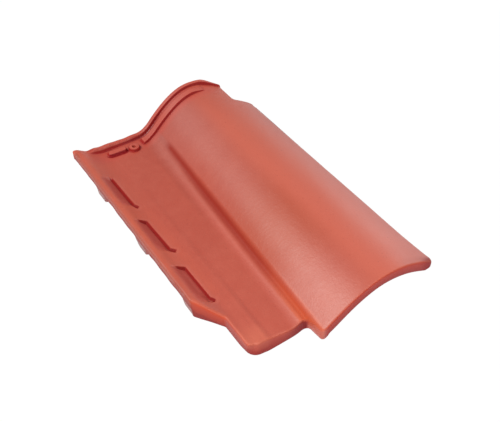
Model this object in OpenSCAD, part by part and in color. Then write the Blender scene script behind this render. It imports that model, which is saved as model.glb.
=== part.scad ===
// Interlocking clay roof tile with one flat pan and one rounded roll.
// Drawn flat: X runs across the tile from the raised water lip on the left to the
// covering edge of the roll on the right, Y runs from the tail (low on the roof)
// up to the ribbed head, and Z is up. The whole tile is then turned into the
// leaning pose in which it lies on a level floor.

/* [Tile] */
// Length from the tail of the roll to the head edge
tile_l = 400; // [380:1:430]
// Width from the water lip to the covering edge
tile_w = 246; // [238:1:252]
// Thickness of the fired clay at the tail
wall_tail = 14; // [12:0.2:15]
// Thickness of the fired clay at the head
wall_head = 10.6; // [10:0.2:12]

/* [Pan] */
// How far the pan stops short of the tail of the roll
pan_back = 25; // [15:1:35]
// Height of the pan's upper face
pan_z = -2; // [-3:0.5:0]
// Rise of the water lip above the pan
lip_h = 14; // [10:0.5:18]
// How far in from the left edge the lip's slope reaches
lip_reach = 45; // [40:1:50]
// How far the pan's end wall leans back at its left corner
end_lean = 4.2; // [2:0.2:5]

/* [Roll] */
// Distance of the crest from the left edge
crest_x = 175; // [170:1:180]
// Height of the crest above the pan at the tail
crest_tail = 46.5; // [42:0.5:50]
// Height of the crest above the pan at the head
crest_head = 49.5; // [44:0.5:54]
// Left quarter wave of the roll at the tail
left_tail = 92; // [86:1:96]
// Left quarter wave of the roll at the head
left_head = 73; // [70:1:80]
// Right quarter wave of the roll at the tail
right_tail = 104; // [98:1:112]
// Right quarter wave of the roll at the head
right_head = 98; // [92:1:106]
// Size of the fillet where the roll rises from the pan, at the tail
foot_fillet = 7; // [5:1:12]
// Size of that fillet at the head
fillet_head = 13; // [8:1:16]
// Depth of the groove between the pan and the roll at the tail
groove_depth = 3; // [2:0.2:6]
// Depth of the groove at the middle of the tile
groove_mid = 3; // [2:0.2:5]
// Height of the ridge beside the groove at the tail
ridge_h = 1; // [0:0.5:3]

/* [Head] */
// Width of the rib along the head edge
rib_w = 7; // [5:0.5:9]
// Height of the rib along the head edge
rib_h = 4.7; // [4:0.1:5.4]
// Width of the groove between the two ribs
rib_gap = 6; // [4:0.5:8]
// Width of the front rib
front_w = 9; // [7:0.5:11]
// Height of the front rib
front_h = 3.4; // [2.4:0.2:4]
// Height of the short front rib beside the nail hole
left_h = 3.6; // [3:0.2:5]
// Width of the head where the corner is cut for the next course
head_w = 216.7; // [213:0.1:222]
// Length of that cut along the right edge
head_cut = 49; // [42:1:54]
// Slant of the head's right end
head_slant = 13.5; // [8:0.5:18]

/* [Nail hole] */
// Diameter of the nail hole
nail_d = 5; // [4:0.5:6]
// Diameter of the round boss about it
boss_d = 14.5; // [12:0.5:17]
// Height of the boss above the pan
boss_h = 4; // [2.5:0.5:5]
// Distance of the hole from the left edge
nail_x = 76; // [72:1:80]
// Distance of the hole from the tail of the roll
nail_y = 377; // [374:1:380]

/* [Drain pockets] */
// Length of a pocket
pocket_l = 70.5; // [60:0.5:76]
// Distance from one pocket to the next
pocket_pitch = 87; // [84:1:90]
// Depth of a pocket at its straight wall
pocket_d = 4.4; // [2:0.2:4.8]
// Distance of the pockets' straight wall from the left edge
pocket_x = 25.4; // [24:0.2:27]

/* [Hanging nibs] */
// Width of a nib
nib_w = 22; // [16:1:28]
// Depth of a nib
nib_l = 12; // [10:1:14]
// Height of a nib below the pan
nib_h = 12; // [8:1:14]

/* [Hidden] */

// Lean and pitch of the tile as it lies on its covering edge, pan and nibs
lean = 8.52;
pitch = 2.05;
rest_shift = [-1.29, 0.57, 15.1];

// Height of the pan's underside by the nibs
under = -13;
step_x = 4;
lip_in = 8.5;
nose = 5.3;
nose_x = 9.3;
edge_in = 2.5;
n_left = 24;
n_right = 36;
n_y = 10;
nib_y = tile_l - 16;
// Left edge of the pan's tail, the radius of its corner, and the radius of the corner by the roll
tail_x = 24.6;
tail_r = 13;
notch_r = 7;

// Smooth maximum of two heights
function smax(a, b, k) = let (h = max(k - abs(a - b), 0) / k) max(a, b) + h * h * k / 4;

// Upper face of the tile at x, with t from 0 at the tail to 1 at the head
function mix(a, b, t) = a + (b - a) * t;
function crest(t) = mix(crest_tail, crest_head, t);
function half_w(x, t) = x < crest_x ? mix(left_tail, left_head, t) : mix(right_tail, right_head, t);
function lip_z(x) = lip_h * pow(max(0, (lip_reach - x) / (lip_reach - lip_in)), 2);
function roll_z(x, t) = crest(t) * cos(min(180, 90 * abs(x - crest_x) / half_w(x, t)));
function ramp(a, b, v) = let (u = min(1, max(0, (v - a) / (b - a)))) u * u * (3 - 2 * u);
function fillet(t) = mix(foot_fillet, fillet_head, ramp(0.6, 1, t));
function top_z(x, t) = pan_z + smax(lip_z(x), roll_z(x, t), fillet(t));

// Points and normals along the upper face
function top(x, t) = [x, top_z(x, t)];
function normal(x, t) = let (d = top(x + 0.5, t) - top(x - 0.5, t)) [-d[1], d[0]] / norm(d);
function tangent(x, t) = let (n = normal(x, t)) [n[1], -n[0]];

// Thickness of the wall; it ends in a round nose at the lip (side -1) and at the covering edge (side 1)
function wall(t) = mix(wall_tail, wall_head, t);
function end_arc(x, t, side, angles) = let (n = normal(x, t), g = tangent(x, t), r = wall(t) / 2, c = top(x, t) - n * r)
    [for (a = angles) c + n * r * cos(a) + g * side * nose * sin(a)];

// Groove between the pan and the roll: it runs in towards the crest and dies out at the head
function groove_x(t) = mix(92, 114.5, t);
function groove_left(t) = mix(6.5, 9.5, min(1, t / 0.35)) - ramp(0.65, 0.95, t);
function groove_right(t) = mix(4.4, 3.4, t);
function groove_fade(t) = 1 - ramp(0.6, 0.95, t);
function bump(u) = pow(cos(90 * min(1, abs(u))), 2);
function ridge(x, t) = mix(ridge_h, ridge_h / 3, ramp(0.05, 0.4, t)) * max(0, 1 - t / 0.9) * bump((x - groove_x(t) + groove_left(t)) / 13);
function dip(x, t) = let (u = x - groove_x(t))
    mix(groove_depth, groove_mid, ramp(0.05, 0.4, t)) * groove_fade(t) * bump(u / (u < 0 ? groove_left(t) : groove_right(t)));
function face(x, t) = top(x, t) + normal(x, t) * (ridge(x, t) - dip(x, t));
function back(x, t) = top(x, t) - normal(x, t) * (wall(t) + 0.6 * dip(x, t));

// Places across the tile at which the outline is drawn, closer together in the groove
function places(t) = let (a = groove_x(t) - groove_left(t), b = groove_x(t) + groove_right(t)) concat(
    [for (i = [0:n_left - 1]) mix(nose_x, a, i / n_left)],
    [for (i = [0:4]) mix(a, groove_x(t), i / 5)],
    [for (i = [0:3]) mix(groove_x(t), b, i / 3)],
    [for (i = [1:n_right]) mix(b, tile_w - edge_in, i / n_right)]);

// Upper and lower half of the wall's outline, both from left to right
function upper(t) = concat(end_arc(nose_x, t, -1, [67.5, 22.5]),
    [for (x = places(t)) face(x, t)], end_arc(tile_w - edge_in, t, 1, [22.5, 67.5]));
function lower(t) = concat(end_arc(nose_x, t, -1, [112.5, 157.5]),
    [for (x = places(t)) back(x, t)], end_arc(tile_w - edge_in, t, 1, [157.5, 112.5]));

// Solid through a row of outlines, each given as [y, upper half, lower half]
module loft(rows) {
    h = len(rows[0][1]);
    m = 2 * h;
    k = len(rows);
    pts = [for (r = rows) each concat(
        [for (p = r[1]) [p[0], r[0], p[1]]],
        [for (i = [h - 1:-1:0]) [r[2][i][0], r[0], r[2][i][1]]])];
    sides = [for (j = [0:k - 2]) for (i = [0:m - 1])
        let (a = j * m + i, b = j * m + (i + 1) % m)
        each [[a, a + m, b], [b, a + m, b + m]]];
    ends = [for (i = [0:h - 2]) let (c = m - 1 - i, e = (k - 1) * m)
        each [[i, i + 1, c], [i + 1, c - 1, c],
            [e + i, e + c, e + i + 1], [e + i + 1, e + c, e + c - 1]]];
    polyhedron(pts, concat(sides, ends), convexity = 10);
}

module body() {
    loft([for (j = [0:n_y]) [tile_l * j / n_y, upper(j / n_y), lower(j / n_y)]]);
}

// Raised strip that follows the upper face from x0 to x1; past the place xs it sinks from the height h to h1
module strip(x0, x1, y0, y1, h, h1, xs) {
    k = ceil((x1 - x0) / step_x);
    loft([for (y = [y0, y1]) let (t = y / tile_l) [y,
        [for (i = [0:k]) let (x = mix(x0, x1, i / k)) top(x, t) + normal(x, t) * mix(h, h1, min(1, max(0, x - xs) / 20))],
        [for (i = [0:k]) let (x = mix(x0, x1, i / k)) top(x, t) - normal(x, t) * 3]]]);
}

module through(outline_pts) {
    translate([0, 0, -60]) linear_extrude(160) polygon(outline_pts);
}

// Corners of each pocket's wall: the hook and the bend, with their distances from the wall's line
// and from the pocket's upper end, then the wall's lower end and its foot, from the lower end
pocket_walls = [
    [[-9.6, 9.5], [-0.2, 12.5], [0.6, 7], [4, 2.8]],
    [[-10.8, 10.5], [-2.2, 13.7], [-0.3, 4.7], [4.6, 0.6]],
    [[-3.6, 5], [-2.5, 9.5], [-1.3, 3.5], [2, -0.7]]];

// Outline of a drain pocket, with slanted ends that lead the water to the pan; the one by the head ends straighter
module pocket_shape(y, w) {
    h = y + pocket_l;
    polygon([[10, h - w[0][1] + 2], [pocket_x + w[0][0], h - w[0][1]], [pocket_x + w[1][0], h - w[1][1]],
        [pocket_x + w[2][0], y + w[2][1]], [pocket_x + w[3][0], y + w[3][1]],
        [pocket_x + w[3][0] - 2.6, y + w[3][1] - 2.8], [pocket_x - 4, y + 1], [10, y + 6]]);
}

// A pocket is deepest at its straight wall, and its floor rises into the lip's slope
module pocket(y, w) {
    x0 = 11.4;
    f = top_z(pocket_x, 0.5) - pocket_d;
    intersection() {
        translate([0, 0, f - 10]) linear_extrude(60) pocket_shape(y, w);
        translate([0, tile_l, 0]) rotate([90, 0, 0]) linear_extrude(tile_l)
            polygon([[x0, top_z(x0, 0.5)], [pocket_x, f], [60, f], [60, f + 40], [x0, f + 40]]);
    }
}

// Lug under the lip's slope
module lug(y, l) {
    translate([0, y + l, 0]) rotate([90, 0, 0]) linear_extrude(l)
        polygon([[3.2, under - 1.5], [24, under - 1.5], [24, under + 7], [3.2, 4.5]]);
}

pocket_ys = [for (i = [0:2]) 100 + i * pocket_pitch];
// Place and length of each lug
lugs = [[72, 54], [211, 23], [317, 22]];
front_y = tile_l - rib_w - rib_gap - front_w;

// Hanging nib with a chamfer at its root
module nib(x) {
    f = under;
    translate([x, 0, 0]) rotate([90, 0, 90]) linear_extrude(nib_w) polygon([
        [nib_y, f - nib_h], [nib_y + nib_l, f - nib_h], [nib_y + nib_l, f + 6],
        [nib_y - 3, f + 6], [nib_y - 3, f], [nib_y, f - 2]]);
}

// Slanted cut that makes the pan's end wall lean back, most at its left corner
module end_cut() {
    a = end_lean / 58;
    b = end_lean / (pan_z - under + 2);
    pts = [for (x = [10, 86]) for (z = [-40, 30])
        each [[x, -20, z], [x, pan_back + a * (86 - x) + b * (z - pan_z), z]]];
    polyhedron(pts, [[0, 1, 3], [0, 3, 2], [4, 6, 7], [4, 7, 5], [0, 2, 6], [0, 6, 4],
        [1, 5, 7], [1, 7, 3], [0, 4, 5], [0, 5, 1], [2, 3, 7], [2, 7, 6]]);
}

module tile() {
    difference() {
        union() {
            body();
            strip(24, head_w, tile_l - rib_w, tile_l, rib_h, 2.8, 192);
            strip(41, nail_x - 10, front_y, front_y + front_w, left_h, left_h, crest_x);
            strip(nail_x + 14.4, crest_x + 14, front_y, front_y + front_w, front_h, 0.5, crest_x - 6);
            // floor of the groove between the ribs
            strip(114, crest_x + 12, front_y + front_w - 2, tile_l - rib_w + 2, 1.4, 0.3, crest_x - 6);
            translate([nail_x, nail_y, under + 2]) cylinder(d = boss_d, h = pan_z + boss_h - under - 2, $fn = 48);
            for (x = [36, 80]) nib(x);
            for (g = lugs) lug(g[0], g[1]);
            // thicker clay along the pan's left edge at the tail
            translate([0, 96, 0]) rotate([90, 0, 0]) linear_extrude(76)
                polygon([[14, under - 2.8], [46, under - 1.2], [46, under + 5], [14, under + 7]]);
        }
        // tail of the pan
        through(concat([[-20, -20], [95, -20]],
            [for (a = [0:15:90]) [95 - notch_r * (1 - cos(a)), pan_back - notch_r * (1 - sin(a))]],
            [for (a = [90:-15:0]) [tail_x + tail_r * (1 - cos(a)), pan_back + tail_r * (1 - sin(a))]],
            [[tail_x, 75], [2, 106.5], [-20, 106.5]]));
        end_cut();
        // head corner
        through([[180, tile_l + 20], [180, tile_l + 0.5], [197, tile_l - 1.7], [201.5, tile_l - 3.6], [head_w, tile_l - head_slant], [head_w, tile_l - head_cut], [tile_w - 10, tile_l - head_cut - 2.5],
            [tile_w - 3, tile_l - head_cut - 6.5], [tile_w + 4, tile_l - head_cut - 15], [tile_w + 30, tile_l - head_cut - 15], [tile_w + 30, tile_l + 20]]);
        for (i = [0:2]) pocket(pocket_ys[i], pocket_walls[i]);
        translate([nail_x, nail_y, -50]) cylinder(d = nail_d, h = 100, $fn = 32);
    }
}

module roof_tile() {
    color("#c05c4e") translate(rest_shift) rotate([pitch, lean, 0]) translate([-tile_w / 2, -tile_l / 2, 0]) tile();
}

roof_tile();
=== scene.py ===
"""Looks of a fired clay roof tile: a fine mesh of the pressed shape, its clay, soft light and a camera."""

import math

import bpy
import numpy as np
from mathutils import Matrix, Vector
from mathutils.geometry import delaunay_2d_cdt


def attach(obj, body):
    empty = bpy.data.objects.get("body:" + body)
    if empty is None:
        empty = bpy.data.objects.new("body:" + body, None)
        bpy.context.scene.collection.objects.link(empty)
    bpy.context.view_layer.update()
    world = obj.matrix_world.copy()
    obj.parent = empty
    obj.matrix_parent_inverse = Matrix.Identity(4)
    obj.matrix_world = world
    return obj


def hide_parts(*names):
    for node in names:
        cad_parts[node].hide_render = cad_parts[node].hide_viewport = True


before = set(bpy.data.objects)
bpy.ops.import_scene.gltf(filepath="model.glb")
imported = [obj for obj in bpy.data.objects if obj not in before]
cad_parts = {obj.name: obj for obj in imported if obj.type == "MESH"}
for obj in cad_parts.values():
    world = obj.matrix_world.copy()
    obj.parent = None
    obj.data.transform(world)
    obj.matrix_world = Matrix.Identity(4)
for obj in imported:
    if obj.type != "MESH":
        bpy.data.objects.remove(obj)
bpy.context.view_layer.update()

# ---------------------------------------------------------------- the tile drawn flat, in mm
# x from the water lip to the covering edge, y from the tail of the roll to the head, z up

TILE_L, TILE_W = 400.0, 246.0
WALL = (14.0, 10.6)  # tail, head
PAN_Z, PAN_BACK = -2.0, 25.0
LIP_H, LIP_REACH, LIP_IN = 14.0, 45.0, 8.5
CREST_X = 175.0
CREST = (46.5, 49.5)  # tail, head
LEFT = (92.0, 73.0)
RIGHT = (104.0, 98.0)
FILLET = (7.0, 13.0)  # tail, head
GROOVE_D, RIDGE_H = (3.0, 3.0), (1.0, 0.3)  # tail, middle
RIB_W, RIB_H, RIB_GAP, FRONT_W, FRONT_H, LEFT_H, GAP_H = 7.0, 4.7, 6.0, 9.0, 3.4, 3.6, 1.4
RIB_TURN, TURN_X, TURN_Y = 190.0, 196.0, 386.5  # where the rib bends, and the cut corner of the head
HEAD_W, HEAD_CUT = 216.7, 49.0
NAIL_X, NAIL_Y, NAIL_R, BOSS_R, BOSS_H = 76.0, 377.0, 2.5, 7.2, 4.0
POCKET_L, POCKET_PITCH, POCKET_D, POCKET_X = 70.5, 87.0, 4.4, 25.4
POCKET_YS = [100.0 + i * POCKET_PITCH for i in range(3)]
# ends of each pocket's wall: its hook by the lip, the bend, the lower end and the foot, as (x, y from the pocket's start)
POCKET_WALL = [((15.8, 61.0), (25.2, 58.0), (26.0, 7.0), (29.4, 2.8)), ((14.6, 60.0), (23.2, 56.8), (25.1, 4.7), (30.0, 0.6)),
               (None, (22.9, 61.0), (24.1, 3.5), (27.4, -0.7))]
LUGS = [(72.0, 54.0), (211.0, 23.0), (317.0, 22.0)]
LUG_X = 3.2
NIB_W, NIB_L, NIB_H, NIB_Y = 22.0, 12.0, 12.0, TILE_L - 16.0
NIB_XS = (36.0, 80.0)
FRONT_Y = TILE_L - RIB_W - RIB_GAP - FRONT_W

# pose in which the tile lies on the floor
LEAN, PITCH, SHIFT = math.radians(8.52), math.radians(2.05), np.array([-1.29, 0.57, 15.1])
MID = np.array([TILE_W / 2, TILE_L / 2, 0.0])
ROT = np.array(Matrix.Rotation(LEAN, 3, "Y") @ Matrix.Rotation(PITCH, 3, "X"))


def to_world(p):
    """Flat drawing in mm to the frame in metres."""
    return ((np.asarray(p, float) - MID) @ ROT.T + SHIFT) / 1000.0


# ---------------------------------------------------------------- height functions


def mix(a, b, t):
    return a + (b - a) * t


def smooth(a, b, x):
    s = np.clip((x - a) / (b - a), 0.0, 1.0)
    return s * s * (3 - 2 * s)


def smax(a, b, k):
    h = np.maximum(k - np.abs(a - b), 0) / k
    return np.maximum(a, b) + h * h * k / 4


def cos2(s):
    return np.cos(np.pi / 2 * np.clip(np.abs(s), 0, 1)) ** 2


def section(x, t):
    """Upper face without groove, ribs or pockets."""
    xl = smax(x, LIP_IN, 6.0)
    lip = LIP_H * np.maximum(0, (LIP_REACH - xl) / (LIP_REACH - LIP_IN)) ** 2
    w = np.where(x < CREST_X, mix(LEFT[0], LEFT[1], t), mix(RIGHT[0], RIGHT[1], t))
    roll = mix(CREST[0], CREST[1], t) * np.cos(np.minimum(np.pi, np.pi / 2 * np.abs(x - CREST_X) / w))
    return PAN_Z + smax(lip, roll, mix(FILLET[0], FILLET[1], smooth(0.6, 1.0, t)))


def groove_x(t):
    return mix(92.0, 114.5, t)


def groove_left(t):
    return mix(6.5, 9.5, np.minimum(1, t / 0.35)) - 1.0 * smooth(0.65, 0.95, t)


def groove_right(t):
    return mix(4.4, 3.4, t)


def groove_fade(t):
    return 1 - smooth(0.60, 0.95, t)


def dip(x, t):
    u = x - groove_x(t)
    return mix(GROOVE_D[0], GROOVE_D[1], smooth(0.05, 0.4, t)) * groove_fade(t) * cos2(u / np.where(u < 0, groove_left(t), groove_right(t)))


def ridge(x, t):
    return mix(RIDGE_H[0], RIDGE_H[1], smooth(0.05, 0.4, t)) * np.maximum(0, 1 - t / 0.9) * cos2((x - groove_x(t) + groove_left(t)) / 13.0)


def slope_cos(x, t):
    d = (section(x + 0.5, t) - section(x - 0.5, t))
    return 1.0 / np.sqrt(1.0 + d * d)


def inside_distance(px, py, poly):
    """Distance from points to a closed polygon, positive inside it."""
    n = len(poly)
    best = np.full(px.shape, 1e9)
    odd = np.zeros(px.shape, bool)
    for i in range(n):
        ax, ay = poly[i]
        bx, by = poly[(i + 1) % n]
        ex, ey = bx - ax, by - ay
        s = np.clip(((px - ax) * ex + (py - ay) * ey) / (ex * ex + ey * ey), 0, 1)
        best = np.minimum(best, np.hypot(px - ax - s * ex, py - ay - s * ey))
        if ay != by:
            odd ^= ((ay > py) != (by > py)) & (px < (bx - ax) * (py - ay) / (by - ay) + ax)
    return np.where(odd, best, -best)


# a pocket is open to the lip's slope on its left, so its outline runs on past the lip there
def pocket_open(i):
    y = POCKET_YS[i]
    hook, bend, low, foot = POCKET_WALL[i]
    if hook:
        end = [(-20, y + hook[1] + (hook[0] + 20) * 0.33), (hook[0], y + hook[1])]
    else:
        end = [(-20, y + POCKET_L + 8), (bend[0] - 1.0, y + POCKET_L + 8)]
    return end + [(bend[0], y + bend[1]), (low[0], y + low[1]), (foot[0], y + foot[1]), (foot[0] - 2.6, y + foot[1] - 2.8),
                  (POCKET_X - 4, y + 1), (-20, y + 12)]


WALL_RUN = 1.0  # plan width of a steep moulded wall
POCKET_RUN = 3.2


def rib_line(x):
    """Inner wall of the rib at the head; it turns down along the cut corner."""
    return TILE_L - RIB_W - np.maximum(0, x - RIB_TURN) * 0.36


def rib_height(x):
    rise = mix(5.4, RIB_H, smooth(60, 115, x)) + 1.4 * cos2((x - 46) / 15) - 0.9 * cos2((x - 72) / 12)
    return mix(rise, 2.8, smooth(192, 212, x)) * smooth(16, 31, x)


def front_height(x):
    past = np.clip((x - CREST_X + 6) / 22, 0, 1)
    return FRONT_H * smooth(88.6, 92.6, x) * (1 - smooth(186, 190, x)) * (1 - 0.85 * past)


def piece_distance(x, y):
    dx, dy = np.abs(x - 53.8) - 8.6, np.abs(y + 0.09 * (x - 46.0) - FRONT_Y - FRONT_W / 2) - (FRONT_W / 2 - 4.2)
    return 4.2 - np.hypot(np.maximum(dx, 0), np.maximum(dy, 0)) - np.minimum(np.maximum(dx, dy), 0)


def left_piece(x, y):
    """Short front rib beside the nail hole, with round ends."""
    return LEFT_H * smooth(-0.9, 1.1, piece_distance(x, y))


def piece_foot_shade(x, y):
    """Foot of that rib on the side of the tail, where shade is painted."""
    d = piece_distance(x, y)
    return smooth(-3.8, -1.4, d) * smooth(1.6, 0.5, d) * smooth(FRONT_Y + 4.5, FRONT_Y + 1.5, y + 0.09 * (x - 46.0))


def waviness(x, y):
    """Slight unevenness of a pressed and fired sheet."""
    return (0.16 * np.sin(x / 23.0 + 0.7) * np.sin(y / 41.0 + 1.1) + 0.12 * np.sin(x / 13.0 + y / 57.0 + 2.0)
            + 0.07 * np.sin(x / 7.3 - y / 19.0) + 0.05 * np.sin(y / 8.7 + x / 31.0 + 0.4))


def top_height(x, y):
    x, y = np.asarray(x, float), np.asarray(y, float)
    t = np.clip(y / TILE_L, 0, 1)
    z = section(x, t)
    c = slope_cos(x, t)
    z = z + (ridge(x, t) - dip(x, t)) / c
    # faint fold along the pan near the tail
    z = z + 1.5 * (1 - smooth(46.4, 54.0, x - np.minimum(0, y - 95) * 0.02)) * smooth(27, 40, x) * mix(1.0, 0.4, smooth(70, 140, y)) * (1 - smooth(240, 330, y))
    # ribs at the head
    h = WALL_RUN / 2
    hr = mix(2.2, h, smooth(70, 125, x))
    rib = smooth(-hr, hr, y - rib_line(x)) * rib_height(x)
    gap = smooth(FRONT_Y + FRONT_W - h, FRONT_Y + FRONT_W + h, y) * (1 - smooth(-h, h, y - rib_line(x))) * smooth(100, 130, x) * (1 - smooth(180, 196, x))
    z = z + GAP_H * gap / np.maximum(c, 0.6)
    low_side = FRONT_Y - 1.2 * smooth(104, 92, x)
    front = smooth(low_side - h, low_side + h, y) * (1 - smooth(FRONT_Y + FRONT_W - h, FRONT_Y + FRONT_W + h, y)) * front_height(x) + left_piece(x, y)
    z = z + (rib + front) / np.maximum(c, 0.6)
    z = z + 1.8 * smooth(384, 398, y) * smooth(13, 4, x)
    # nail boss
    r = np.hypot(x - NAIL_X, y - NAIL_Y)
    boss = PAN_Z + BOSS_H - 0.5 * smooth(3.0, 5.0, r) - 0.3 * (1 - smooth(2.4, 3.4, r))
    z = np.maximum(z, z + (boss - z) * (1 - smooth(BOSS_R - h, BOSS_R + h, r)))
    # drain pockets
    for i, py in enumerate(POCKET_YS):
        near = (x < 40) & (y > py - 12) & (y < py + POCKET_L + 30)
        if not near.any():
            continue
        xn, yn, zn = x[near], y[near], z[near]
        d = inside_distance(xn, yn, pocket_open(i))
        depth = POCKET_D * smooth(7.5, 23.0, xn) * mix(0.55, 1.0, smooth(py - 2, py + 12, yn))
        depth = depth * mix(smooth(py - 4, py + 24, yn), 1.0, smooth(18.0, 24.0, xn))
        if i == 2:
            depth = depth * smooth(py + POCKET_L - 3, py + POCKET_L - 12, yn)
        z[near] = zn - depth * smooth(-POCKET_RUN / 2, POCKET_RUN / 2, d)
    return z + waviness(x, y)


# underside: the upper face set off by the wall's thickness, as a table over t and x
T_GRID = np.linspace(0, 1, 41)
X_GRID = np.linspace(-2, TILE_W + 4, 500)
BACK = np.empty((len(T_GRID), len(X_GRID)))
for k, tk in enumerate(T_GRID):
    xp = np.linspace(LIP_IN, TILE_W - 2.5, 700)
    tp = np.full_like(xp, tk)
    g = np.gradient(section(xp, tp), xp)
    n = np.stack([-g, np.ones_like(g)], 1) / np.sqrt(1 + g * g)[:, None]
    w = mix(WALL[0], WALL[1], tk) + 0.6 * dip(xp, tp)
    bx, bz = xp - n[:, 0] * w, section(xp, tp) - n[:, 1] * w
    BACK[k] = np.interp(X_GRID, bx, bz)


def back_sheet(x, y):
    t = np.clip(y / TILE_L, 0, 1) * (len(T_GRID) - 1)
    u = np.clip((x - X_GRID[0]) / (X_GRID[1] - X_GRID[0]), 0, len(X_GRID) - 1.001)
    i, j = np.minimum(t.astype(int), len(T_GRID) - 2), u.astype(int)
    ft, fu = t - i, u - j
    return (BACK[i, j] * (1 - ft) * (1 - fu) + BACK[i + 1, j] * ft * (1 - fu) + BACK[i, j + 1] * (1 - ft) * fu + BACK[i + 1, j + 1] * ft * fu)


def box_distance(x, y, x0, x1, y0, y1):
    return np.minimum(np.minimum(x - x0, x1 - x), np.minimum(y - y0, y1 - y))


def back_height(x, y):
    x, y = np.asarray(x, float), np.asarray(y, float)
    z = back_sheet(x, y)
    under = PAN_Z - 11.0
    for ly, ll in LUGS:
        d = box_distance(x, y, LUG_X, 24, ly, ly + ll)
        z = z - np.maximum(0, z - under + 1.5) * smooth(-1.0, 0.4, d)
    d = box_distance(x, y, -20, 48, -20, 100)
    z = z - np.maximum(0, z - under + 2.6) * smooth(-6.0, 6.0, d) * smooth(18, 26, x + 0.3 * np.maximum(0, y - 75))
    for nx in NIB_XS:
        d = box_distance(x, y, nx, nx + NIB_W, NIB_Y, NIB_Y + NIB_L)
        z = z - np.maximum(0, z - under + NIB_H) * smooth(-0.3, 1.5, d)
    z = z + 0.7 * smooth(226, 244, x) * smooth(70, 20, y)
    return z - 0.7 * waviness(x, y)


# ---------------------------------------------------------------- outline in plan


def rounded(corners, step):
    """Closed outline through corners (x, y, radius), counter-clockwise, as evenly spaced points."""
    out = []
    n = len(corners)
    for i in range(n):
        p0, p1, p2 = (np.array(corners[(i + k) % n][:2], float) for k in (-1, 0, 1))
        r = corners[i][2]
        a, b = (p0 - p1) / np.linalg.norm(p0 - p1), (p2 - p1) / np.linalg.norm(p2 - p1)
        ang = math.acos(max(-1, min(1, float(a @ b))))
        cut = r / math.tan(ang / 2)
        s, e = p1 + a * cut, p1 + b * cut
        c = p1 + (a + b) / np.linalg.norm(a + b) * (r / math.sin(ang / 2))
        a0, a1 = math.atan2(*(s - c)[::-1]), math.atan2(*(e - c)[::-1])
        da = (a1 - a0 + math.pi) % (2 * math.pi) - math.pi
        m = max(3, int(abs(da) * r / 0.6))
        out += [c + r * np.array([math.cos(a0 + da * k / m), math.sin(a0 + da * k / m)]) for k in range(m + 1)]
    out = np.array(out)
    full = []
    for i in range(len(out)):
        p, q = out[i], out[(i + 1) % len(out)]
        m = max(1, int(round(np.linalg.norm(q - p) / step)))
        full += [p + (q - p) * k / m for k in range(m)]
    return np.array(full)


EDGE = rounded([(95, 0, 4.5), (TILE_W + 3.4, 0, 7.5), (TILE_W, 45, 40), (TILE_W, 347, 10), (HEAD_W, TILE_L - HEAD_CUT, 4), (HEAD_W, TURN_Y, 4), (TURN_X, TILE_L, 22),
                (-0.8, TILE_L + 0.4, 2.6), (0.5, TILE_L - 16, 60), (1.1, 107.5, 6), (24.6, 75, 6), (24.6, PAN_BACK, 13), (95, PAN_BACK, 7)], 1.6)


def outward(loop):
    d = np.roll(loop, -1, 0) - np.roll(loop, 1, 0)
    d = d / np.linalg.norm(d, axis=1)[:, None]
    return np.stack([d[:, 1], -d[:, 0]], 1)


# the lip's outer edge is slightly uneven
_n = outward(EDGE)
_w = 0.22 * np.sin(EDGE[:, 1] / 9.0 + 0.5) + 0.18 * np.sin(EDGE[:, 1] / 4.1 + EDGE[:, 0] / 6.0) + 0.15 * np.sin(EDGE[:, 1] / 23.0 + 2)
EDGE = EDGE - _n * np.maximum(0, 0.25 + _w)[:, None] * smooth(14, 4, EDGE[:, 0])[:, None]
OUT = outward(EDGE)
for _ in range(3):
    OUT = OUT + np.roll(OUT, 1, 0) + np.roll(OUT, -1, 0)
    OUT /= np.linalg.norm(OUT, axis=1)[:, None]


def loop_smooth(v, n):
    for _ in range(n):
        v = (v + np.roll(v, 1) + np.roll(v, -1)) / 3
    return v


_x, _y = EDGE.T
on_lip = (_x < 1.5) & (_y > 108) & (_y < 396)
on_cover = (_x > TILE_W - 1.5) & (_y > 9)
on_notch = (_x < 24.2) & (_y > 70) & (_y < 108)
on_left = (_x >= 24.2) & (_x < 40) & (_y > 42) & (_y < 80)
on_corner = (_x < 42) & (_y <= 42) & (_y > 20)
on_tail = (_x >= 42) & (_x < 94) & (_y < PAN_BACK + 1)
R_TOP = np.full(len(EDGE), 2.2)
for where_on, radius in ((on_lip & (_y < 384), 4.0), (on_cover, 6.0), ((_x < 12) & (_y > 384), 1.6), (on_notch, 4.8), (on_left, 3.8), (on_corner, 3.4),
                         (on_tail, 3.2), ((_x > TILE_W - 8) & (_y <= 9), 4.5)):
    R_TOP = np.where(where_on, radius, R_TOP)
R_TOP = loop_smooth(R_TOP, 8)
on_tip = (_x < 106) & (_x > 93) & (_y < 10)
R_BACK = loop_smooth(np.where(on_lip, 1.6, np.where(on_cover, 5.5, np.where(on_corner, 4.0, np.where(on_tip, 3.4, 1.1)))), 8)

TURN_TOP = np.radians([0, 14, 28, 43, 58, 74, 90])
TURN_BACK = np.radians([0, 30, 60, 90])


# the end wall of the pan leans back towards the top, most of all at its left corner
DRAFT = loop_smooth(np.where(on_corner | on_tail, smooth(0.25, 0.8, -OUT[:, 1]) * mix(4.2, 1.0, smooth(46, 78, _x)), 0.0), 6)


def ring(turn, radius, inset):
    return EDGE - OUT * (radius * (1 - math.cos(turn)) + inset)[:, None]


# ---------------------------------------------------------------- points of the two faces


def grid(x0, x1, y0, y1, dx, dy):
    nx, ny = max(1, round((x1 - x0) / dx)), max(1, round((y1 - y0) / dy))
    gx, gy = np.meshgrid(np.linspace(x0, x1, nx + 1), np.linspace(y0, y1, ny + 1), indexing="ij")
    return np.stack([gx.ravel(), gy.ravel()], 1)


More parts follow.
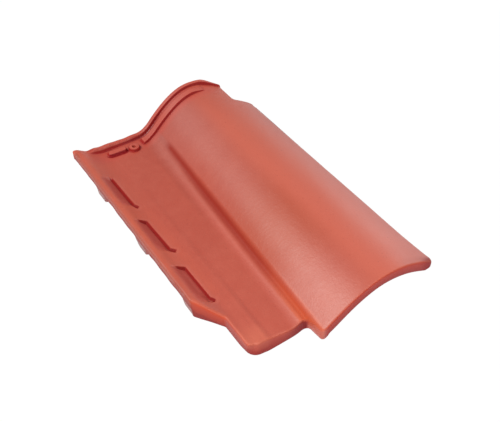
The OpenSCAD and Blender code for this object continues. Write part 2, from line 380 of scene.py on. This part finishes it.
def rows_along(line, offsets, step):
    """Rows of points beside an open polyline, for the steep walls."""
    line = np.array(line, float)
    out = []
    for p, q in zip(line[:-1], line[1:]):
        ln = np.linalg.norm(q - p)
        m = max(1, int(round(ln / step)))
        d = (q - p) / ln
        nrm = np.array([d[1], -d[0]])
        for k in range(m + 1):
            b = p + (q - p) * k / m
            out += [b + nrm * o for o in offsets]
    return np.array(out)


def circle_rows(cx, cy, radii, count):
    a = np.linspace(0, 2 * np.pi, count, endpoint=False)
    return np.concatenate([np.stack([cx + r * np.cos(a), cy + r * np.sin(a)], 1) for r in radii])


class Sheet:
    """Collects points, keeping later ones clear of earlier ones."""

    CELL = 0.5

    def __init__(self):
        self.parts = []
        self.mask = np.zeros((int(260 / self.CELL), int(420 / self.CELL)), bool)

    def _cells(self, p):
        return ((p + 8) / self.CELL).astype(int)

    def add(self, pts, clear):
        pts = np.asarray(pts, float)
        c = self._cells(pts)
        ok = (c[:, 0] >= 0) & (c[:, 1] >= 0) & (c[:, 0] < self.mask.shape[0]) & (c[:, 1] < self.mask.shape[1])
        pts, c = pts[ok], c[ok]
        free = ~self.mask[c[:, 0], c[:, 1]]
        pts, c = pts[free], c[free]
        self.parts.append(pts)
        n = int(math.ceil(clear / self.CELL))
        for i in range(-n, n + 1):
            for j in range(-n, n + 1):
                if i * i + j * j <= (clear / self.CELL) ** 2 + 0.1:
                    a = np.clip(c[:, 0] + i, 0, self.mask.shape[0] - 1)
                    b = np.clip(c[:, 1] + j, 0, self.mask.shape[1] - 1)
                    self.mask[a, b] = True

    def points(self):
        return np.concatenate(self.parts)


def unique_points(p, tol):
    key = np.round(p / tol).astype(np.int64)
    _, i = np.unique(key, axis=0, return_index=True)
    return p[np.sort(i)]


POCKET_ROWS = (-2.5, -1.9, -1.5, -1.1, -0.75, -0.4, 0.0, 0.4, 0.75, 1.1, 1.5, 1.9, 2.5)
WALL_ROWS = (-1.0, -0.6, -0.36, -0.12, 0.12, 0.36, 0.6, 1.0)


def top_points():
    s = Sheet()
    s.add(unique_points(circle_rows(NAIL_X, NAIL_Y, (3.0, 3.6, 4.3, 5.1, 5.9, 6.4, 6.7, 7.0, 7.3, 7.6, 7.9, 8.3, 9.0, 10.0), 64), 0.01), 0.8)
    walls = []
    for i, py in enumerate(POCKET_YS):
        o = pocket_open(i)
        walls.append(rows_along([(8, mix(o[1][1], o[0][1], (o[1][0] - 8) / (o[1][0] + 20)))] + o[1:7] + [(4, py + 8.2)], POCKET_ROWS, 1.0))
    walls.append(rows_along([(18, TILE_L - RIB_W), (120, TILE_L - RIB_W)], (-2.2, -1.5, 1.5, 2.2), 1.3))
    walls.append(rows_along([(18, TILE_L - RIB_W), (RIB_TURN, TILE_L - RIB_W), (HEAD_W + 2, float(rib_line(np.array(HEAD_W + 2))))], WALL_ROWS, 1.3))
    for x0, x1 in ((90.4, 189),):
        walls.append(rows_along([(x0, FRONT_Y - 1.2), (104, FRONT_Y), (x1, FRONT_Y)], WALL_ROWS, 1.2))
        walls.append(rows_along([(x0, FRONT_Y + FRONT_W), (x1, FRONT_Y + FRONT_W)], WALL_ROWS, 1.2))
        walls.append(rows_along([(x0, FRONT_Y - 1), (x0, FRONT_Y + FRONT_W + 1)], WALL_ROWS, 1.0))
        walls.append(rows_along([(x1, FRONT_Y - 1), (x1, FRONT_Y + FRONT_W + 1)], WALL_ROWS, 1.0))
    for w in walls:
        s.add(unique_points(w, 0.2), 0.6)
    s.add(grid(38, 70, FRONT_Y - 3, FRONT_Y + FRONT_W + 3, 0.8, 0.8), 0.6)
    # fold in the pan
    s.add(grid(43, 58, 26, 330, 0.9, 3.6), 1.0)
    # groove at the foot of the roll, on lines that follow it
    tv = np.linspace(0, 0.93, 150)
    uv = np.linspace(-26.0, 14.0, 29)
    gt, gu = np.meshgrid(tv, uv, indexing="ij")
    s.add(np.stack([(groove_x(gt) + gu).ravel(), (gt * TILE_L).ravel()], 1), 1.0)
    s.add(grid(0, 46, 60, 400, 1.7, 1.8), 1.4)
    s.add(grid(0, HEAD_W + 30, 366, 400, 1.9, 1.7), 1.5)
    s.add(grid(0, TILE_W, 0, 400, 3.2, 3.6), 1.9)
    return s.points()


def back_points():
    s = Sheet()
    s.add(circle_rows(NAIL_X, NAIL_Y, (3.2, 4.4, 6.0), 32), 1.0)
    for nx in NIB_XS:
        x1, y1 = nx + NIB_W, NIB_Y + NIB_L
        s.add(unique_points(rows_along([(nx, NIB_Y), (nx, y1), (x1, y1), (x1, NIB_Y), (nx, NIB_Y)], (-0.6, -0.3, 0.0, 0.3, 0.6, 0.9, 1.2, 1.5, 1.9), 1.2), 0.2), 0.8)
    for ly, ll in LUGS:
        s.add(unique_points(rows_along([(LUG_X, ly), (LUG_X, ly + ll), (24, ly + ll), (24, ly), (LUG_X, ly)], (-1.2, -0.8, -0.4, 0.0, 0.4, 0.9), 1.6), 0.2), 0.8)
    s.add(grid(0, 45, 60, 400, 2.6, 3.0), 1.8)
    s.add(grid(85, 125, 0, 400, 2.6, 5.0), 1.9)
    s.add(grid(0, TILE_W, 0, 400, 4.5, 6.0), 2.6)
    return s.points()


def triangulate(inner, hole, pts, keep_off):
    """Triangles of the region inside the loop `inner` and outside `hole`; the loops come first in the points."""
    d = inside_distance(pts[:, 0], pts[:, 1], inner.tolist())
    pts = pts[(d > keep_off) & (np.hypot(pts[:, 0] - NAIL_X, pts[:, 1] - NAIL_Y) > np.hypot(*(hole[0] - (NAIL_X, NAIL_Y))) + 0.2)]
    allp = np.concatenate([inner, hole, pts])
    n, m = len(inner), len(hole)
    edges = [(i, (i + 1) % n) for i in range(n)] + [(n + i, n + (i + 1) % m) for i in range(m)]
    v, e, f, ov, oe, of = delaunay_2d_cdt([Vector(p) for p in allp.tolist()], edges, [list(range(n))], 1, 1e-6)
    v = np.array([(p.x, p.y) for p in v])
    tri = np.array([t for t in f if len(t) == 3])
    # vertex order of the input
    where = np.full(len(allp), -1)
    for k, src in enumerate(ov):
        for q in src:
            where[q] = k
    tri = tri[~np.isin(tri, where[n:n + m]).all(1)]
    p = v[tri]
    area = (p[:, 1, 0] - p[:, 0, 0]) * (p[:, 2, 1] - p[:, 0, 1]) - (p[:, 2, 0] - p[:, 0, 0]) * (p[:, 1, 1] - p[:, 0, 1])
    tri[area < 0] = tri[area < 0][:, ::-1]
    tri = tri[np.abs(area) > 1e-7]
    return v, tri, where[:n], where[n:n + m]


HOLE_N = 48
_a = np.linspace(0, 2 * np.pi, HOLE_N, endpoint=False)


def hole_loop(r):
    return np.stack([NAIL_X + r * np.cos(_a), NAIL_Y + r * np.sin(_a)], 1)


def build_tile():
    verts, faces, rims, edges, lows = [], [], [], [], []
    count = 0

    def put(p, rim=0.0, edge=0.0, low=0.0):
        nonlocal count
        verts.append(np.asarray(p, float))
        rims.append(np.full(len(p), 1.0) * rim)
        lows.append(np.full(len(p), low))
        edges.append(np.full(len(p), 1.0) * edge)
        count += len(p)
        return np.arange(count - len(p), count)

    def strip(a, b):
        """Quads between two closed rows of vertices; a lies outside b seen from above."""
        a2, b2 = np.roll(a, -1), np.roll(b, -1)
        faces.extend(np.stack([a, a2, b2, b], 1).tolist())

    sides = {}
    for side, turns, radius, height, pts, keep in (("top", TURN_TOP, R_TOP, top_height, top_points(), 0.7),
                                                   ("back", TURN_BACK, R_BACK, back_height, back_points(), 0.9)):
        sign = 1 if side == "top" else -1
        inset = DRAFT if side == "top" else 0.0 * DRAFT
        inner = ring(turns[-1], radius, inset)
        hole_r = NAIL_R + 0.5
        v, tri, iw, hw = triangulate(inner, hole_loop(hole_r), pts, keep)
        z = height(v[:, 0], v[:, 1])
        idx = put(np.column_stack([v, z]))
        tri = idx[tri]
        faces.extend((tri if side == "top" else tri[:, ::-1]).tolist())
        rows = [idx[iw]]
        for turn in turns[-2::-1]:
            p = ring(turn, radius, inset)
            zr = height(p[:, 0], p[:, 1]) - sign * radius * (1 - math.sin(turn))
            rim = np.clip(math.cos(turn) * 2.0 - 0.8, 0, 1)
            if side == "top":
                rim = np.where(on_lip, min(1.0, math.cos(turn) * 1.2) * 0.45, rim)
                rows.append(put(np.column_stack([p, zr]), rim, math.sin(2 * turn) ** 2 * smooth(122.0, 104.0, p[:, 1])))
            else:
                rows.append(put(np.column_stack([p, zr]), rim, 0.0, 1.0))
        for a, b in zip(rows[1:], rows[:-1]):
            strip(*((a, b) if side == "top" else (b, a)))
        # rounded mouth of the nail hole
        mouth = [idx[hw]]
        zc = height(np.array([NAIL_X + hole_r]), np.array([NAIL_Y]))[0]
        for s, dr in ((0.15, 0.22), (0.5, 0.0)):
            p = hole_loop(NAIL_R + dr)
            mouth.append(put(np.column_stack([p, np.full(HOLE_N, zc - sign * s)])))
        for a, b in zip(mouth[:-1], mouth[1:]):
            strip(*((a, b) if side == "top" else (b, a)))
        sides[side] = rows[-1], mouth[-1]

    allv = np.concatenate(verts)
    # side wall between the two rims, and the wall of the nail hole
    (te, th), (be, bh) = sides["top"], sides["back"]
    for a, b, n in ((te, be, 6), (th, bh, 3)):
        last = a
        for k in range(1, n):
            row = put(mix(allv[a], allv[b], k / n), 1.0, 0.0, k / n)
            strip(*((row, last) if a is te else (last, row)))
            last = row
        strip(*((b, last) if a is te else (last, b)))
    return np.concatenate(verts), faces, np.concatenate(rims), np.concatenate(edges), np.concatenate(lows)


verts, faces, rim, edge, low = build_tile()


# ---------------------------------------------------------------- hollows and edges, and where shade, highlights and sheen are painted into the clay's colour


def blur(a, sigma):
    n = int(3 * sigma)
    k = np.exp(-0.5 * (np.arange(-n, n + 1) / sigma) ** 2)
    k /= k.sum()
    for axis in (0, 1):
        pad = [(n, n) if i == axis else (0, 0) for i in (0, 1)]
        p = np.pad(a, pad, mode="edge")
        a = sum(k[i] * np.take(p, range(i, i + a.shape[axis]), axis) for i in range(2 * n + 1))
    return a


_gx, _gy = np.meshgrid(np.arange(0, TILE_W + 1), np.arange(0, TILE_L + 1), indexing="ij")
_h = top_height(_gx.ravel(), _gy.ravel()).reshape(_gx.shape)
HOLLOW_FINE = blur(_h, 2.2) - _h
HOLLOW_WIDE = blur(_h, 7.0) - _h


def sample(field, x, y):
    u, v = np.clip(x, 0, field.shape[0] - 1.001), np.clip(y, 0, field.shape[1] - 1.001)
    i, j = u.astype(int), v.astype(int)
    a, b = u - i, v - j
    return field[i, j] * (1 - a) * (1 - b) + field[i + 1, j] * a * (1 - b) + field[i, j + 1] * (1 - a) * b + field[i + 1, j + 1] * a * b


x, y, z = verts.T
upper = z > back_sheet(x, y) + 6.5
hollow = np.where(upper, sample(HOLLOW_FINE, x, y), 0.0)
broad = np.where(upper, sample(HOLLOW_WIDE, x, y), 0.0)
t_all = np.clip(y / TILE_L, 0, 1)
u_all = x - groove_x(t_all)
groove = cos2(u_all / np.where(u_all < 0, groove_left(t_all) * 1.6, groove_right(t_all) + 0.4)) * smooth(0.30, 0.05, t_all)
_wl, _wr = mix(8.5, 6.0, smooth(0.5, 0.8, t_all)), mix(5.4, 4.6, smooth(0.5, 0.8, t_all))
crease = cos2((u_all + 0.5) / np.where(u_all < -0.5, _wl, _wr)) * smooth(-0.02, 0.5, t_all) * smooth(0.885, 0.845, t_all)
sheen_band = np.where(upper, cos2((u_all + mix(12.0, 11.8, smooth(0.0, 0.3, t_all))) / 7.5) * smooth(0.86, 0.62, t_all), 0.0)
foot = np.where(upper, smooth(-26.0, -14.0, u_all) * smooth(3.0, -3.0, u_all) * smooth(0.45, 0.7, t_all), 0.0)
groove, crease = np.where(upper, groove, 0.0), np.where(upper, crease, 0.0)



def plain_height(px, py):
    pt = np.clip(py / TILE_L, 0, 1)
    return section(px, pt) + (ridge(px, pt) - dip(px, pt)) / slope_cos(px, pt) + waviness(px, py)


def relief(px, py):
    return top_height(px, py) - plain_height(px, py)


crown_highlight = smooth(18.0, 44.0, np.where(upper, section(x, t_all), 0.0)) * smooth(140.0, 170.0, x) * mix(1.0, 0.6, smooth(0.7, 0.95, t_all))
steep = np.hypot(relief(x + 0.4, y) - relief(x - 0.4, y), relief(x, y + 0.4) - relief(x, y - 0.4)) / 0.8
steep = np.where(upper, np.clip((steep - 0.25) / 0.7, 0, 1), 0.0)
by_pocket = smooth(40.0, 34.0, x) * smooth(372.0, 366.0, y)
flank_at = np.where(upper, smooth(3.0, 12.0, section(x, t_all)) * smooth(176.0, 150.0, x) * smooth(60.0, 80.0, x), 0.0)
pocket_wall_shade, pocket_edge_highlight, inside = np.zeros(len(x)), np.zeros(len(x)), np.zeros(len(x))
for i, py in enumerate(POCKET_YS):
    hook, bend, low_end, foot_end = POCKET_WALL[i]
    d = inside_distance(x, y, pocket_open(i))
    start = smooth(hook[0] - 2.5, hook[0] + 1.5, x) if hook else smooth(py + bend[1] + 5.0, py + bend[1] - 0.5, y) * smooth(15.0, 19.0, x)
    start = start * (1 - smooth(low_end[0] - 1.0, low_end[0] - 3.5, x) * smooth(py + 9, py + 5, y))
    pocket_wall_shade = np.maximum(pocket_wall_shade, smooth(2.1 + 0.3 * (i > 0), 0.7 + 0.2 * (i > 0), np.abs(d - 0.4)) * start)
    pocket_edge_highlight = np.maximum(pocket_edge_highlight, smooth(-5.5, -3.4, d) * smooth(-1.8, -2.8, d) * start)
    inside = np.maximum(inside, smooth(-0.5, 2.0, d) * smooth(9.0, 12.0, x) * (smooth(py + POCKET_L - 3, py + POCKET_L - 12, y) if i == 2 else 1.0))
pocket_wall_shade, pocket_edge_highlight, inside = (np.where(upper, v, 0.0) for v in (pocket_wall_shade, pocket_edge_highlight, inside))
steep = steep * (1 - by_pocket) * mix(1.0, 0.88, smooth(362, 368, y))
on_rib = smooth(2.0, 1.2, np.abs(y - rib_line(x)))
steep = steep * mix(1.0, smooth(1.0, 0.4, smooth(-1.2, 1.2, y - rib_line(x))), on_rib * smooth(110.0, 60.0, x))
steep = np.maximum(steep, np.where(upper, piece_foot_shade(x, y), 0.0))
r_all = np.hypot(x - NAIL_X, y - NAIL_Y)
steep = np.maximum(steep, np.where(upper, 0.8 * smooth(6.0, 6.8, r_all) * smooth(9.4, 8.0, r_all) * smooth(NAIL_Y + 3, NAIL_Y - 1, y), 0.0))
lip = np.where(upper, smooth(26.0, 9.0, x) * smooth(96.0, 108.0, y) * mix(0.45, 1.0, smooth(110, 210, y)) * (1 - inside), 0.0)
slope = np.where(upper, smooth(12.0, 20.0, x) * smooth(50.0, 26.0, x) * smooth(96.0, 120.0, y) * smooth(376.0, 360.0, y) * mix(1.0, 0.6, smooth(200.0, 300.0, y)) * (1 - inside), 0.0)
lip_edge_shade = smooth(6.0, 1.5, x) * smooth(100.0, 112.0, y) * smooth(398.0, 390.0, y)
trough = np.where(upper, cos2(u_all / np.where(u_all < 0, 9.0, 6.5)) * smooth(0.92, 0.82, t_all), 0.0)
lower_flank_shade = flank_at * cos2((t_all - 0.33) / 0.26)
upper_flank_sheen = flank_at * smooth(0.58, 0.88, t_all)
head = np.where(upper, smooth(364, 374, y) * smooth(222, 190, x), 0.0)
roll_tail_shade = rim * smooth(12.0, 4.0, y) * smooth(96.0, 100.0, x)
on_side = smooth(101.0, 97.0, x) * smooth(92.0, 94.0, x) * smooth(25.0, 21.0, y)
rim, low = rim * (1 - 0.8 * on_side), low * (1 - 0.7 * on_side)
rib_foot_shade = np.where(upper, smooth(-4.0, -0.8, y - rib_line(x)) * smooth(0.6, -0.2, y - rib_line(x)) * smooth(58.0, 75.0, x) * smooth(135.0, 110.0, x), 0.0)
wall_shade = np.maximum(rim, low) * smooth(98.0, 94.0, x) * smooth(78.0, 70.0, y) * smooth(18.0, 22.0, y)
groove_core_shade = np.where(upper, cos2((u_all - 0.5) / 3.2) * smooth(0.30, 0.05, t_all), 0.0)
groove_side_light = np.where(upper, (cos2((u_all + 5.2) / 3.0) + 0.6 * cos2((u_all - 4.8) / 2.4)) * smooth(0.30, 0.05, t_all), 0.0)
lug = np.where(upper, 0.0, smooth(0.5, 2.5, back_sheet(x, y) - z) * smooth(30.0, 26.0, x) * smooth(66.0, 70.0, y))
strip_end_light = np.where(upper, smooth(53.0, 46.0, x) * smooth(62.0, 38.0, y), 0.0)
shade = smooth(62.0, 90.0, x) * smooth(96.0, 92.0, x) * smooth(29.0, 26.5, y) * smooth(22.0, 24.0, y) * np.maximum(rim, low)
shade = np.maximum(shade, np.where(upper, 0.8 * piece_foot_shade(x, y), 0.0))
by_groove = np.where(upper & (u_all > 0), smooth(27.0, 6.0, u_all) * smooth(0.10, 0.28, t_all), 0.0)

flank = flank_at
nose = smooth(222.0, 244.0, x) * smooth(9.0, 2.0, y)
tail_side_shade = np.where(upper, smooth(188.0, 214.0, x) * (0.45 * smooth(40.0, 14.0, y) + 0.55 * smooth(13.0, 5.0, y)), 0.0)
mesh = bpy.data.meshes.new("roof_tile_fired")
mesh.from_pydata(to_world(verts).tolist(), [], faces)
mesh.validate()
mesh.update()
for p in mesh.polygons:
    p.use_smooth = True
for name, vals in (("hollow", hollow), ("broad", broad), ("groove", groove), ("crease", crease), ("along", t_all), ("steep", steep), ("rim", rim), ("edge", edge), ("crown_highlight", crown_highlight), ("low", low), ("flank", flank), ("nose", nose), ("inside", inside), ("pocket_wall_shade", pocket_wall_shade), ("sheen_band", sheen_band), ("foot", foot), ("pocket_edge_highlight", pocket_edge_highlight), ("lip", lip), ("by_groove", by_groove), ("head", head), ("roll_tail_shade", roll_tail_shade), ("shade", shade), ("trough", trough), ("lower_flank_shade", lower_flank_shade), ("lug", lug), ("groove_core_shade", groove_core_shade), ("groove_side_light", groove_side_light), ("rib_foot_shade", rib_foot_shade), ("wall_shade", wall_shade), ("strip_end_light", strip_end_light), ("slope", slope), ("lip_edge_shade", lip_edge_shade), ("upper_flank_sheen", upper_flank_sheen), ("tail_side_shade", tail_side_shade)):
    att = mesh.attributes.new(name, "FLOAT", "POINT")
    att.data.foreach_set("value", np.ascontiguousarray(vals, dtype=np.float32))
tile = bpy.data.objects.new("roof_tile_fired", mesh)
bpy.context.scene.collection.objects.link(tile)
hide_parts("roof_tile")
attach(tile, "root")

# ---------------------------------------------------------------- fired clay


def srgb(r, g, b):
    f = lambda c: c / 12.92 if c <= 0.04045 else ((c + 0.055) / 1.055) ** 2.4
    return (f(r / 255), f(g / 255), f(b / 255), 1.0)


def clay_material():
    m = bpy.data.materials.new("fired_clay")
    m.use_nodes = True
    nt = m.node_tree
    nt.nodes.clear()
    N, L = nt.nodes.new, nt.links.new

    def node(kind, **kw):
        n = N(kind)
        for k, v in kw.items():
            setattr(n, k, v)
        return n

    def noise(scale, detail, rough, vec, dims="3D"):
        n = node("ShaderNodeTexNoise")
        n.inputs["Scale"].default_value = scale
        n.inputs["Detail"].default_value = detail
        n.inputs["Roughness"].default_value = rough
        L(vec, n.inputs["Vector"])
        return n.outputs["Fac"]

    def ramp(fac, stops):
        r = node("ShaderNodeValToRGB")
        el = r.color_ramp.elements
        while len(el) < len(stops):
            el.new(0.5)
        for e, (pos, col) in zip(el, stops):
            e.position = pos
            e.color = col
        L(fac, r.inputs["Fac"])
        return r.outputs["Color"]

    def math_node(op, a, b=None, clamp=False):
        n = node("ShaderNodeMath", operation=op, use_clamp=clamp)
        for s, v in zip(n.inputs, (a, b)):
            if v is None:
                continue
            if isinstance(v, (int, float)):
                s.default_value = v
            else:
                L(v, s)
        return n.outputs[0]

    def blend(kind, fac, a, b):
        n = node("ShaderNodeMix", data_type="RGBA", blend_type=kind)
        for s, v in ((n.inputs[0], fac), (n.inputs[6], a), (n.inputs[7], b)):
            if isinstance(v, (int, float, tuple)):
                s.default_value = v
            else:
                L(v, s)
        return n.outputs[2]

    def attr(name):
        return node("ShaderNodeAttribute", attribute_name=name).outputs["Fac"]

    coord = node("ShaderNodeTexCoord").outputs["Object"]
    # broad clouds of the firing, finer mottling, and grain
    clouds = noise(14, 3, 0.55, coord)
    mottle = noise(75, 4, 0.6, coord)
    grain = noise(650, 3, 0.65, coord)
    specks = noise(420, 2, 0.5, coord)

    col = ramp(clouds, [(0.25, srgb(188, 78, 59)), (0.50, srgb(193, 82, 62)), (0.78, srgb(198, 86, 65))])
    col = blend("MIX", math_node("MULTIPLY", math_node("SUBTRACT", mottle, 0.42, True), 0.9, True), col, srgb(208, 104, 84))
    # painted highlight: the crown of the roll is made paler
    col = blend("MIX", math_node("MULTIPLY", attr("crown_highlight"), 0.8), col, srgb(214, 104, 81))
    # painted light: a little paler at the tail, and a painted sheen, pinker, on the roll's side by the head
    near = math_node("SUBTRACT", 1.0, math_node("MULTIPLY", attr("along"), 1.6), True)
    col = blend("MIX", math_node("MULTIPLY", near, 0.35), col, srgb(203, 98, 80))
    col = blend("MIX", math_node("MULTIPLY", attr("upper_flank_sheen"), 0.42), col, srgb(202, 112, 102))
    # painted shade: darker and oranger on the lower side of the roll, damping its sheen
    col = blend("MIX", math_node("MULTIPLY", attr("lower_flank_shade"), 0.48), col, srgb(186, 70, 22))
    # painted shade: darker towards the head, most of all on the side of the roll and at its foot
    far_shade = math_node("MULTIPLY", attr("along"), 0.145)
    far_shade = math_node("ADD", far_shade, math_node("MULTIPLY", attr("flank"), 0.13), True)
    far_shade = math_node("ADD", far_shade, math_node("MULTIPLY", attr("foot"), 0.16), True)
    col = blend("MIX", far_shade, col, srgb(92, 36, 34))
    # painted sheen: a pale band beside the crease
    col = blend("MIX", math_node("MULTIPLY", attr("sheen_band"), 0.45), col, srgb(190, 96, 83))
    # painted shade: darker and redder across the head
    col = blend("MIX", math_node("MULTIPLY", attr("head"), 0.4), col, srgb(200, 75, 62))
    # painted light: the lip made lighter where it falls in shade
    col = blend("MIX", math_node("MULTIPLY", attr("lip"), 0.5), col, srgb(214, 108, 84))
    # painted light: the lip's inner slope made lighter where it falls in shade
    col = blend("MIX", math_node("MULTIPLY", attr("slope"), 0.55), col, srgb(214, 97, 72))
    # painted highlight along the top edge beside each pocket wall
    col = blend("MIX", math_node("MULTIPLY", attr("pocket_edge_highlight"), 0.4), col, srgb(208, 104, 90))
    light_speck = math_node("MULTIPLY", math_node("SUBTRACT", grain, 0.60, True), 2.2, True)
    col = blend("MIX", light_speck, col, srgb(222, 134, 112))
    dark_speck = math_node("MULTIPLY", math_node("SUBTRACT", specks, 0.64, True), 2.6, True)
    col = blend("MIX", dark_speck, col, srgb(150, 50, 38))
    # painted shade: darker, redder in the hollows; paler on the worn edges
    hollow_shade = math_node("MULTIPLY", attr("hollow"), 0.3, True)
    col = blend("MIX", hollow_shade, col, srgb(140, 30, 24))
    worn = math_node("MULTIPLY", attr("hollow"), -0.12, True)
    col = blend("MIX", worn, col, srgb(214, 104, 80))
    # painted shade on steep moulded walls, at the foot of the short rib and below the boss
    col = blend("MIX", math_node("MULTIPLY", attr("steep"), 0.9), col, srgb(148, 14, 22))
    # painted shade on the pocket walls
    col = blend("MIX", math_node("MULTIPLY", attr("pocket_wall_shade"), 0.9), col, srgb(134, 20, 24))
    # painted light: the pocket floors made lighter where they fall in shade
    col = blend("MIX", math_node("MULTIPLY", math_node("SUBTRACT", attr("inside"), attr("pocket_wall_shade"), True), 0.5), col, srgb(204, 88, 80))
    # painted shade in the crease at the foot of the roll
    col = blend("MIX", math_node("MULTIPLY", attr("crease"), 0.82), col, srgb(148, 42, 31))
    # painted light: orange bounce light in the groove near the tail, painted shade in its core and painted light on its
    # sides
    col = blend("MIX", math_node("MULTIPLY", attr("groove"), 0.75), col, srgb(213, 99, 64))
    col = blend("MIX", math_node("MULTIPLY", attr("groove_core_shade"), 0.75), col, srgb(190, 76, 44))
    col = blend("MIX", math_node("MULTIPLY", attr("groove_side_light"), 0.45), col, srgb(232, 124, 92))
    # painted shade on the roll's top towards the tail by the covering edge
    col = blend("MIX", math_node("MULTIPLY", attr("tail_side_shade"), 0.7), col, srgb(182, 70, 46))
    # painted shade, a deeper orange-red, on the rounded edges and the end walls
    col = blend("MIX", math_node("MULTIPLY", attr("rim"), 0.7), col, srgb(196, 70, 46))
    # painted shade along the lip's outer edge
    col = blend("MIX", math_node("MULTIPLY", attr("lip_edge_shade"), 0.55), col, srgb(140, 80, 72))
    # painted shade on the end wall at the tail of the roll
    col = blend("MIX", math_node("MULTIPLY", attr("roll_tail_shade"), 0.75), col, srgb(176, 52, 43))
    # painted shade at the foot of the rib at the head
    col = blend("MIX", math_node("MULTIPLY", attr("rib_foot_shade"), 0.65), col, srgb(130, 20, 26))
    # painted light on the pan's strip left of the fold, at its tail corner
    col = blend("MIX", math_node("MULTIPLY", attr("strip_end_light"), 0.4), col, srgb(226, 120, 92))
    # painted shade on the end walls at the pan's tail and left side
    col = blend("MIX", math_node("MULTIPLY", attr("wall_shade"), 0.42), col, srgb(164, 86, 86))
    # painted shade on the lugs under the lip
    col = blend("MIX", math_node("MULTIPLY", attr("lug"), 0.6), col, srgb(136, 52, 48))
    # painted shade towards the bottom of the walls and on the underside's rim
    col = blend("MIX", math_node("MULTIPLY", attr("low"), 0.7), col, srgb(136, 34, 38))
    # painted shade on the nose at the tail of the covering edge
    col = blend("MIX", math_node("MULTIPLY", attr("nose"), 0.97), col, srgb(138, 6, 12))
    col = blend("MIX", math_node("MULTIPLY", attr("shade"), 0.75), col, srgb(122, 14, 24))
    # painted highlight on the rounded edges near the tail
    col = blend("MIX", math_node("MULTIPLY", attr("edge"), 0.25), col, srgb(220, 112, 74))
    matt = math_node("MAXIMUM", math_node("MAXIMUM", attr("groove"), attr("crease")), math_node("MAXIMUM", attr("rim"), math_node("MAXIMUM", math_node("MAXIMUM", attr("steep"), attr("pocket_wall_shade")), math_node("MAXIMUM", math_node("MAXIMUM", attr("nose"), math_node("MAXIMUM", attr("trough"), math_node("MULTIPLY", attr("sheen_band"), 0.55))), math_node("MAXIMUM", math_node("MULTIPLY", attr("lip"), 0.6), math_node("MULTIPLY", attr("by_groove"), 0.5))))))

    bsdf = node("ShaderNodeBsdfPrincipled")
    L(col, bsdf.inputs["Base Color"])
    rough = node("ShaderNodeMapRange")
    L(mottle, rough.inputs["Value"])
    rough.inputs["From Min"].default_value = 0.3
    rough.inputs["From Max"].default_value = 0.7
    rough.inputs["To Min"].default_value = 0.41
    rough.inputs["To Max"].default_value = 0.47
    L(rough.outputs[0], bsdf.inputs["Roughness"])
    bsdf.inputs["IOR"].default_value = 1.5
    gloss = node("ShaderNodeMapRange")
    L(matt, gloss.inputs["Value"])
    gloss.inputs["To Min"].default_value = 0.85
    gloss.inputs["To Max"].default_value = 0.12
    L(gloss.outputs[0], bsdf.inputs["Specular IOR Level"])

    b1 = node("ShaderNodeBump")
    b1.inputs["Strength"].default_value = 0.5
    b1.inputs["Distance"].default_value = 0.00025
    L(grain, b1.inputs["Height"])
    b2 = node("ShaderNodeBump")
    b2.inputs["Strength"].default_value = 0.3
    b2.inputs["Distance"].default_value = 0.0006
    L(noise(260, 3, 0.6, coord), b2.inputs["Height"])
    L(b1.outputs["Normal"], b2.inputs["Normal"])
    L(b2.outputs["Normal"], bsdf.inputs["Normal"])
    out = node("ShaderNodeOutputMaterial")
    L(bsdf.outputs[0], out.inputs["Surface"])
    return m


mesh.materials.append(clay_material())

# ---------------------------------------------------------------- floor, light and camera

scene = bpy.context.scene
scene.view_settings.view_transform = "Standard"


fm = bpy.data.meshes.new("floor")
s = 6.0
fm.from_pydata([(-s, -s, 0), (s, -s, 0), (s, s, 0), (-s, s, 0)], [], [(0, 1, 2, 3)])
floor = bpy.data.objects.new("floor", fm)
glow = bpy.data.materials.new("floor_white")
glow.use_nodes = True
_b = glow.node_tree.nodes["Principled BSDF"]
_b.inputs["Base Color"].default_value = (0.02, 0.02, 0.02, 1)
_b.inputs["Roughness"].default_value = 1.0
_b.inputs["Specular IOR Level"].default_value = 0.0
_b.inputs["Emission Color"].default_value = (1, 1, 1, 1)
_b.inputs["Emission Strength"].default_value = 1.0
fm.materials.append(glow)
scene.collection.objects.link(floor)

world = bpy.data.worlds.new("studio")
scene.world = world
world.use_nodes = True
bg = world.node_tree.nodes["Background"]
bg.inputs["Color"].default_value = (1.0, 1.0, 1.0, 1)
bg.inputs["Strength"].default_value = 0.35


def area(name, pos, target, size, power, color=(1, 1, 1)):
    d = bpy.data.lights.new(name, "AREA")
    d.shape = "RECTANGLE"
    d.size, d.size_y = size
    d.energy = power
    d.color = color
    o = bpy.data.objects.new(name, d)
    o.location = pos
    o.rotation_euler = (Vector(target) - Vector(pos)).to_track_quat("-Z", "Y").to_euler()
    scene.collection.objects.link(o)
    return o


area("key_back_left", (-1.55, 0.68, 2.5), (0, 0, 0.03), (1.5, 1.1), 58, (1.0, 0.95, 0.88))
area("fill_right_low", (2.3, 0.35, 0.45), (0, 0, 0.03), (1.6, 0.7), 10)
area("fill_front", (-0.2, -1.45, 1.35), (0, -0.05, 0.03), (1.3, 0.8), 14, (1.0, 0.97, 0.93))

# camera given in the flat drawing: focal length in pixels of a 500 x 422 picture, direction and place
F_PX, AZ, EL, ROLL = 704.94, math.radians(-34.35), math.radians(44.95), math.radians(0.14)
CAM = np.array([-203.5, -304.21, 600.18])
right = np.array([math.cos(AZ), math.sin(AZ), 0])
backv = np.array([math.sin(AZ) * math.cos(EL), -math.cos(AZ) * math.cos(EL), math.sin(EL)])
up = np.cross(backv, right)
right, up = right * math.cos(ROLL) + up * math.sin(ROLL), up * math.cos(ROLL) - right * math.sin(ROLL)
axes = ROT @ np.stack([right, up, backv], 1)
cd = bpy.data.cameras.new("camera")
cd.sensor_fit = "HORIZONTAL"
cd.sensor_width = 36.0
cd.lens = F_PX * 36.0 / 500.0
cd.clip_start, cd.clip_end = 0.01, 50
cam = bpy.data.objects.new("camera", cd)
mw = Matrix([list(axes[i]) + [to_world(CAM)[i]] for i in range(3)] + [[0, 0, 0, 1]])
cam.matrix_world = mw
scene.collection.objects.link(cam)
scene.camera = cam
